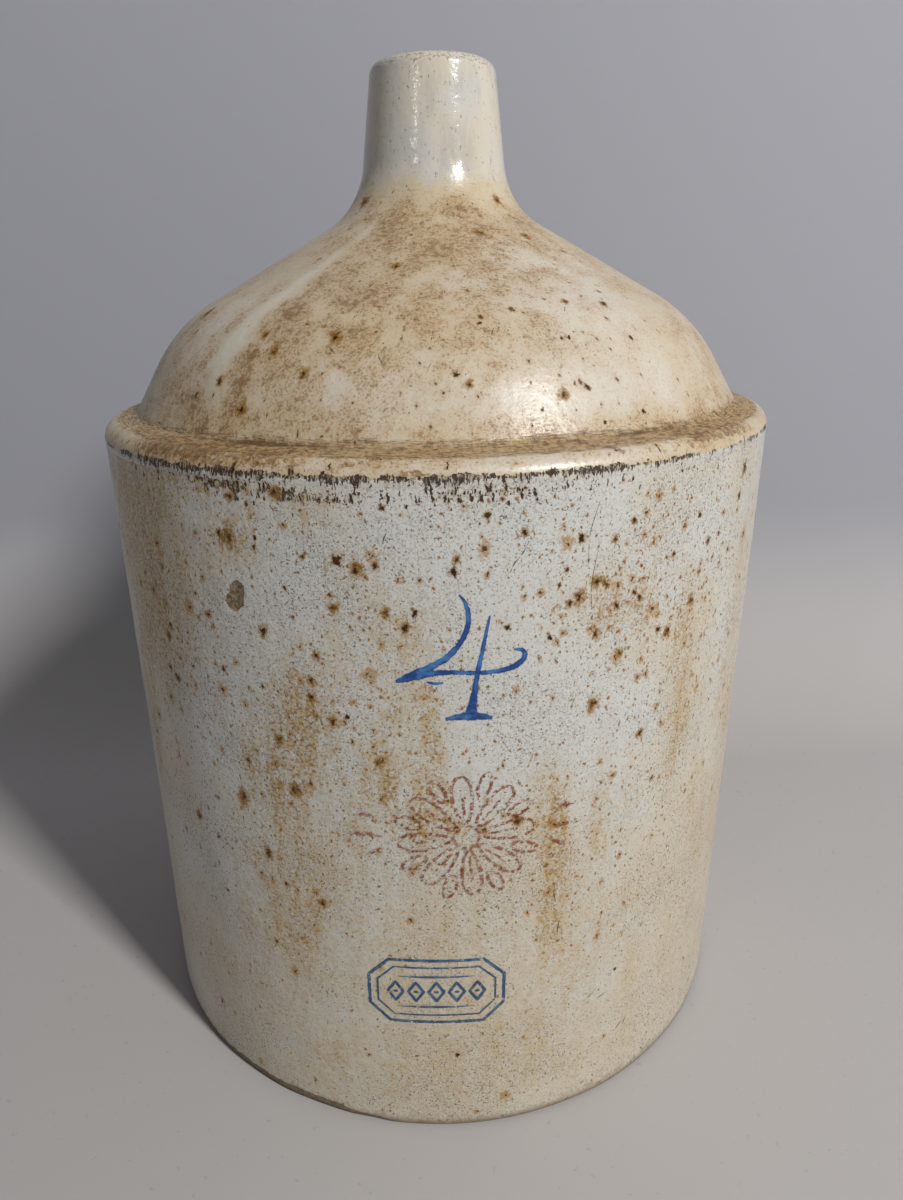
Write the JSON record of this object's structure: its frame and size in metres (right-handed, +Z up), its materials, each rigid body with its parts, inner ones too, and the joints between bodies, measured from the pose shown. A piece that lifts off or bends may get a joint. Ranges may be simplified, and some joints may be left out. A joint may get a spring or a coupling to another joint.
{
  "type": "stoneware crock jug",
  "caption": "Large stoneware storage jug: a straight-sided crock body, a flat ledge, a ball-shaped dome shoulder, a narrow tapered neck with an open bore, and a strap handle behind the neck.",
  "frame": {"origin": "centre of the flat base, on the surface that the jug stands on", "axes": "+Z up along the axis that the jug was turned about; the strap handle is at +Y and the front with the capacity numeral faces -Y"},
  "size_m": [0.2843, 0.2844, 0.41],
  "materials": {
    "crock_glaze": "glossy pale grey-white glaze with fine dark specks and iron spots",
    "shoulder_glaze": "glossy cream-tan glaze with brown mottling",
    "neck_glaze": "glossy grey-white glaze with fine specks",
    "handle_glaze": "glossy cream glaze, thinner and browner on its edges",
    "luting_slip": "matt fired slip"
  },
  "bodies": {
    "root": {"crock_body": "crock_glaze", "shoulder_top": "shoulder_glaze", "neck": "neck_glaze", "strap_handle": "handle_glaze", "handle_upper_root": "handle_glaze", "handle_lower_root": "handle_glaze", "shoulder_luting_ring": "luting_slip", "neck_luting_ring": "luting_slip"}
  },
  "joints": []
}
